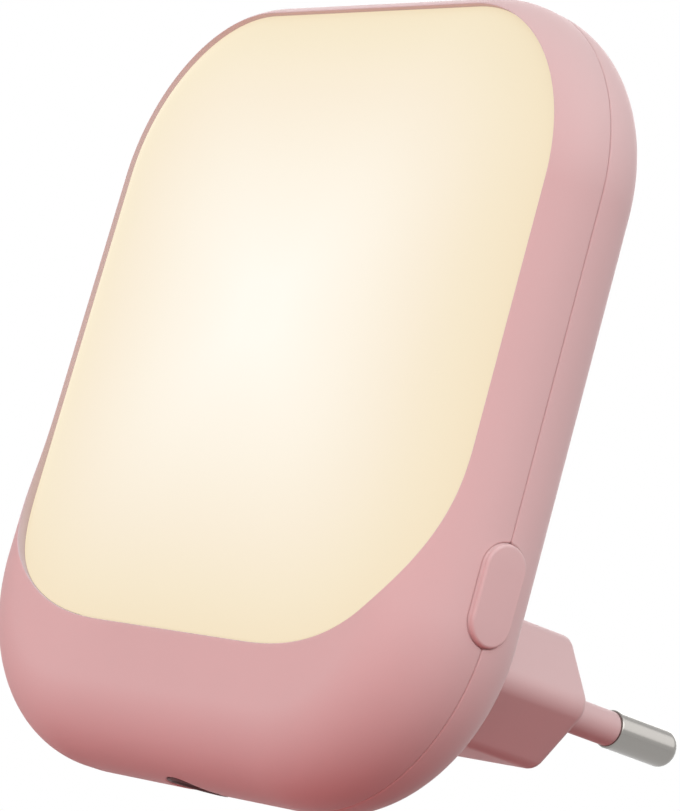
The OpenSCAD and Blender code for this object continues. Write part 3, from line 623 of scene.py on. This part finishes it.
def moulded(name, base, rough, grain=0.02, **settings):
    """A moulded or coated surface: a faint drift of the colour over 30 mm, and a fine grain in bump and
    roughness, drawn at 0.35 mm because the real one is too fine to show."""
    drift_mm, grain_mm, shift, spread = 30, 0.35, 0.03, 0.03
    mat = bpy.data.materials.new(name)
    mat.use_nodes = True
    tree = mat.node_tree
    bsdf = tree.nodes["Principled BSDF"]
    where = node(tree, "ShaderNodeTexCoord").outputs["Object"]
    drift = node(tree, "ShaderNodeTexNoise", {"Scale": 1000 / drift_mm, "Detail": 2.0}, {"Vector": where})
    fine = node(tree, "ShaderNodeTexNoise", {"Scale": 1000 / grain_mm, "Detail": 3.0}, {"Vector": where})
    height = fine.outputs["Fac"]
    lin = np.array(colour(base))
    ramp = node(tree, "ShaderNodeValToRGB", links={"Fac": drift.outputs["Fac"]})
    dark, light = ramp.color_ramp.elements
    dark.position, light.position = 0.3, 0.7
    dark.color = (*(lin[:3] * (1 - shift)), 1)
    light.color = (*np.minimum(lin[:3] * (1 + shift), 1), 1)
    tree.links.new(ramp.outputs["Color"], bsdf.inputs["Base Color"])
    ends = {"To Min": rough - spread, "To Max": rough + spread}
    gloss = node(tree, "ShaderNodeMapRange", ends, {"Value": height})
    tree.links.new(gloss.outputs["Result"], bsdf.inputs["Roughness"])
    bump = node(tree, "ShaderNodeBump", {"Strength": grain, "Distance": 0.00002}, {"Height": height})
    tree.links.new(bump.outputs["Normal"], bsdf.inputs["Normal"])
    for key, value in settings.items():
        bsdf.inputs[key.replace("_", " ")].default_value = value
    return mat


def opal_cover():
    """Opal acrylic, lit from behind: a dull smooth sheet that glows nearly white in the middle and
    deepens to warm cream towards its edge. The attribute edge_mm holds the distance from the edge."""
    mat = moulded("lit_opal_acrylic", "#5a554a", 0.6, grain=0.0)
    tree = mat.node_tree
    bsdf = tree.nodes["Principled BSDF"]
    middle_mm = 29
    edge = node(tree, "ShaderNodeAttribute", {"attribute_name": "edge_mm"})
    share = node(tree, "ShaderNodeMapRange", {"From Max": middle_mm}, {"Value": edge.outputs["Fac"]})
    ramp = node(tree, "ShaderNodeValToRGB", links={"Fac": share.outputs["Result"]})
    stops = ramp.color_ramp.elements
    stops[0].color, stops[1].color = colour("#eddebd"), colour("#fbf8ee")
    for at_mm, code in ((4, "#efe3c6"), (10, "#f2e8d2"), (18, "#f6f0e0")):
        stops.new(at_mm / middle_mm).color = colour(code)
    tree.links.new(ramp.outputs["Color"], bsdf.inputs["Emission Color"])
    bsdf.inputs["Emission Strength"].default_value = 0.88
    return mat


def dress():
    """Makes the materials, gives every CAD node its own, and returns them for the pieces."""
    made = {
        # ABS moulded in a finely spark-eroded tool: dusty rose, with a wide soft sheen and no highlight
        "rose": moulded("satin_moulded_abs", "#d4b6b6", 0.55, Specular_IOR_Level=0.3),
        # the same plastic with a painted cooler tint where the cover's cream light falls on it: colour that
        # cancels that light's warm cast, so the rim doesn't turn orange
        "rim": moulded("rose_painted_cool_rim", "#d0c0c8", 0.55, Specular_IOR_Level=0.3),
        "opal": opal_cover(),
        # brass with bright nickel, drawn and tumbled: mid-grey metal with a blurred reflection
        "nickel": moulded("nickel_plated_brass", "#96938f", 0.22, grain=0.01, Metallic=1.0),
        # polycarbonate dyed dark and dulled: a nearly black wine red without a glint
        "smoked": moulded("smoked_polycarbonate", "#4a1a1c", 0.6),
        # epoxy board under solder mask: glossy leaf green
        "board": moulded("green_solder_mask", "#2f6b45", 0.35),
        # PBT with titanium white: off-white and matt, so the tray throws the light forwards
        "white": moulded("white_pbt", "#f1efe8", 0.5),
        # moulded epoxy of chips and switches: charcoal, half matt
        "black": moulded("black_epoxy", "#232325", 0.5),
        # film capacitor dipped in epoxy: glossy ochre
        "film": moulded("coated_film_capacitor", "#c9922e", 0.35),
        # aluminium can in a shrunk PVC sleeve: dark blue-grey
        "can": moulded("sleeved_aluminium_can", "#27313d", 0.4),
        # resistor with baked lacquer: pale green
        "ceramic": moulded("lacquered_ceramic", "#8fae7d", 0.45),
        # silicone with phosphor over the diodes: pale yellow
        "phosphor": moulded("diode_phosphor", "#f3e39a", 0.4),
        # extruded PVC of the leads: brown for live, blue for neutral
        "brown": moulded("brown_pvc", "#6b3a22", 0.45),
        "blue": moulded("blue_pvc", "#3b6ea8", 0.45),
        # zinc-plated screws and drawn spring wire: bright grey metal
        "steel": moulded("spring_steel", "#b9bbbd", 0.3, Metallic=1.0),
    }
    nodes = {
        "rose": ["front_shell", "rear_shell", "side_button", "sleeve_left", "sleeve_right"],
        "opal": ["diffuser"],
        "nickel": ["pin_left", "pin_right"],
        "smoked": ["sensor_window"],
        "board": ["circuit_board"],
        "white": ["pin_carrier", "reflector_tray", "switch_plunger"],
        "black": ["bridge_rectifier", "chip_resistors", "driver_chip", "push_switch", "light_sensor"],
        "film": ["dropper_capacitor"],
        "can": ["smoothing_capacitor"],
        "ceramic": ["fusible_resistor"],
        "phosphor": ["leds"],
        "brown": ["live_lead"],
        "blue": ["neutral_lead"],
        "steel": ["switch_spring", "board_screws"],
    }
    for finish, names in nodes.items():
        for name in names:
            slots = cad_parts[name].material_slots
            for s in slots:
                s.material = made[finish]
            if not slots:
                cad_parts[name].data.materials.append(made[finish])
    return made


# ------------------------------------------------------------------ studio


def place_camera():
    """Camera 52.8 degrees to the right of the lamp's front and 8.8 degrees below it, rolled so that the
    lamp leans to the right."""
    axes = Matrix(CAMERA_AXES).transposed()
    data = bpy.data.cameras.new("camera")
    data.sensor_fit = "HORIZONTAL"
    data.sensor_width = SENSOR_MM
    data.lens = CAMERA_FOCUS_PX / IMAGE_PX * SENSOR_MM
    data.clip_start, data.clip_end = CAMERA_NEAR, CAMERA_FAR
    cam = bpy.data.objects.new("camera", data)
    bpy.context.scene.collection.objects.link(cam)
    cam.matrix_world = Matrix.Translation(Vector(to_row([CAMERA_AT])[0])) @ axes.to_4x4()
    bpy.context.scene.camera = cam


def soft_box(name, at, size, power):
    """Round white soft box that faces the lamp's middle; size in metres, power in watts."""
    light = bpy.data.lights.new(name, "AREA")
    light.shape, light.size, light.energy = "DISK", size, power
    box = bpy.data.objects.new(name, light)
    box.location = at
    box.rotation_euler = (Vector(AIM) - Vector(at)).to_track_quat("-Z", "Y").to_euler()
    bpy.context.scene.collection.objects.link(box)


def seen_directly(tree):
    """1 for camera, glossy and transmission rays, which see the plain background, and 0 for all others."""
    path = node(tree, "ShaderNodeLightPath")
    mirrored = {0: path.outputs["Is Glossy Ray"], 1: path.outputs["Is Transmission Ray"]}
    mirror = node(tree, "ShaderNodeMath", {"operation": "MAXIMUM"}, mirrored)
    both = {0: path.outputs["Is Camera Ray"], 1: mirror.outputs[0]}
    return node(tree, "ShaderNodeMath", {"operation": "MAXIMUM"}, both).outputs[0]


def build_surroundings():
    """White all round for the eye and in reflections, and a dim white dome as a light."""
    world = bpy.data.worlds.new("studio")
    bpy.context.scene.world = world
    world.use_nodes = True
    tree = world.node_tree
    tree.nodes.clear()
    dim = node(tree, "ShaderNodeBackground", {"Color": (1, 1, 1, 1), "Strength": DOME})
    white = node(tree, "ShaderNodeBackground", {"Color": (1, 1, 1, 1), "Strength": 1.0})
    parts = {0: seen_directly(tree), 1: dim.outputs[0], 2: white.outputs[0]}
    mixed = node(tree, "ShaderNodeMixShader", links=parts)
    node(tree, "ShaderNodeOutputWorld", links={"Surface": mixed.outputs[0]})


def floor_with_painted_bounce():
    """Matt paint. The eye and reflections see it pale, with the lamp's soft shadow. The light that it throws
    back is a painted rose bounce, which painted shade darkens to dark wine along Y towards the back, behind
    the plug."""
    mat = bpy.data.materials.new("pale_floor_painted_bounce")
    mat.use_nodes = True
    tree = mat.node_tree
    tree.nodes.clear()
    pale = node(tree, "ShaderNodeBsdfDiffuse", {"Color": (0.9, 0.9, 0.9, 1)})
    glow = node(tree, "ShaderNodeEmission", {"Color": (1, 1, 1, 1), "Strength": 1.0})
    eye = node(tree, "ShaderNodeMixShader", {0: FLOOR_WHITE}, {1: pale.outputs[0], 2: glow.outputs[0]})
    where = node(tree, "ShaderNodeTexCoord").outputs["Object"]
    along = node(tree, "ShaderNodeSeparateXYZ", links={0: where}).outputs["Y"]
    ends = {"From Min": BOUNCE_FROM, "From Max": BOUNCE_TO}
    depth = node(tree, "ShaderNodeMapRange", ends, {"Value": along})
    ramp = node(tree, "ShaderNodeValToRGB", links={"Fac": depth.outputs["Result"]})
    # painted rose bounce in front, painted shade down to dark wine behind the lamp
    near, far = ramp.color_ramp.elements
    near.color, far.color = colour("#ff9192"), colour("#4f2022")
    bounce = node(tree, "ShaderNodeBsdfDiffuse", links={"Color": ramp.outputs["Color"]})
    parts = {0: seen_directly(tree), 1: bounce.outputs[0], 2: eye.outputs[0]}
    both = node(tree, "ShaderNodeMixShader", links=parts)
    node(tree, "ShaderNodeOutputMaterial", links={"Surface": both.outputs[0]})
    return mat


def build_floor():
    """Level square floor below the lamp."""
    mesh = bpy.data.meshes.new("floor")
    f, z = FLOOR_HALF, FLOOR_Z
    mesh.from_pydata([(-f, -f, z), (f, -f, z), (f, f, z), (-f, f, z)], [], [(0, 1, 2, 3)])
    mesh.materials.append(floor_with_painted_bounce())
    floor = bpy.data.objects.new("floor", mesh)
    bpy.context.scene.collection.objects.link(floor)


def light_studio():
    """Six plain soft boxes all round: a low one in front, one at each front corner, the strongest high
    on the button's side, and two behind for the flat back."""
    soft_box("front", (0.10, -0.97, 0.28), 0.7, 3.1)
    soft_box("left", (-0.62, -0.78, 0.28), 0.6, 2.2)
    soft_box("corner", (0.66, -0.60, 0.45), 0.9, 2.6)
    soft_box("right", (0.80, 0.06, 0.62), 0.9, 4.4)
    soft_box("back", (0.49, 0.55, 0.66), 1.0, 2.6)
    soft_box("far", (-0.75, 0.60, 0.35), 0.9, 4.0)


finishes = dress()
make_front_shell()
make_rear_shell().data.materials.append(finishes["rose"])
make_cover().data.materials.append(finishes["opal"])
make_button().data.materials.append(finishes["rose"])
make_window().data.materials.append(finishes["smoked"])
for side, word in ((-1, "left"), (1, "right")):
    pin = turned_piece(f"contact_pin_{word}", pin_profile(), side, [f"pin_{word}"])
    pin.data.materials.append(finishes["nickel"])
    sleeve = turned_piece(f"pin_sleeve_{word}", sleeve_profile(), side, [f"sleeve_{word}"])
    sleeve.data.materials.append(finishes["rose"])
place_camera()
build_surroundings()
build_floor()
light_studio()
bpy.context.scene.view_settings.view_transform = "Standard"
